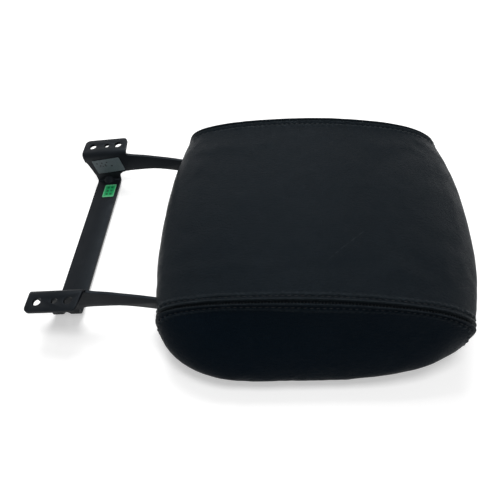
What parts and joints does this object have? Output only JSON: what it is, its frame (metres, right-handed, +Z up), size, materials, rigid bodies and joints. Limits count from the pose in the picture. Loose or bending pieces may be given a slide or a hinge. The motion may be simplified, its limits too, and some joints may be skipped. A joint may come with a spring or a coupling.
{
  "type": "fold-down seat armrest",
  "caption": "Stitched leather armrest pad on a folded steel hinge frame, which swings through slots in the pad's rear end and bolts down by two drilled flanges.",
  "frame": {"origin": "middle of the armrest's length and width, on the surface it lies on", "axes": "+X from the hinge frame towards the pad's free tip, +Y across the seat along the hinge axis, +Z up"},
  "size_m": [0.4166, 0.3258, 0.085],
  "materials": {
    "leather": "fine grain, soft sheen",
    "base_lining": "coated cloth",
    "foam": "moulded foam skin",
    "frame_paint": "black coat, semi-matt",
    "zinc_steel": "zinc plated",
    "drawn_steel": "drawn, oiled",
    "bush_nylon": "moulded nylon",
    "core_plastic": "moulded polypropylene",
    "label_grey": "satin film",
    "label_green": "satin film"
  },
  "bodies": {
    "pad": {"pivot_bolt_near": "zinc_steel", "pivot_bolt_far": "zinc_steel", "thrust_washer_near": "zinc_steel", "thrust_washer_far": "zinc_steel", "pivot_nut_near": "zinc_steel", "pivot_nut_far": "zinc_steel", "hinge_plate_near": "frame_paint", "hinge_plate_far": "frame_paint", "torque_tube": "frame_paint", "upper_stop_rod": "drawn_steel", "lower_stop_rod": "drawn_steel", "core_shell": "core_plastic", "base_board": "core_plastic", "hinge_plate_screw_1": "zinc_steel", "hinge_plate_screw_2": "zinc_steel", "hinge_plate_screw_3": "zinc_steel", "hinge_plate_screw_4": "zinc_steel", "core_screw_1": "zinc_steel", "core_screw_2": "zinc_steel", "core_screw_3": "zinc_steel", "core_screw_4": "zinc_steel", "foam_pad": "foam", "cover_main_panel": "leather", "cover_side_panel_near": "leather", "cover_side_panel_far": "leather", "cover_base_panel": "base_lining"},
    "bracket": {"hinge_frame": "frame_paint", "web_label": "label_grey", "crossbar_label": "label_green", "pivot_bush_near": "bush_nylon", "pivot_bush_far": "bush_nylon"}
  },
  "joints": [
    {"name": "armrest_hinge", "type": "hinge", "parent": "pad", "child": "bracket", "pos_m": [-0.02793, 0, 0.038], "axis": [0, -1, 0], "range_deg": [0, 95]}
  ]
}
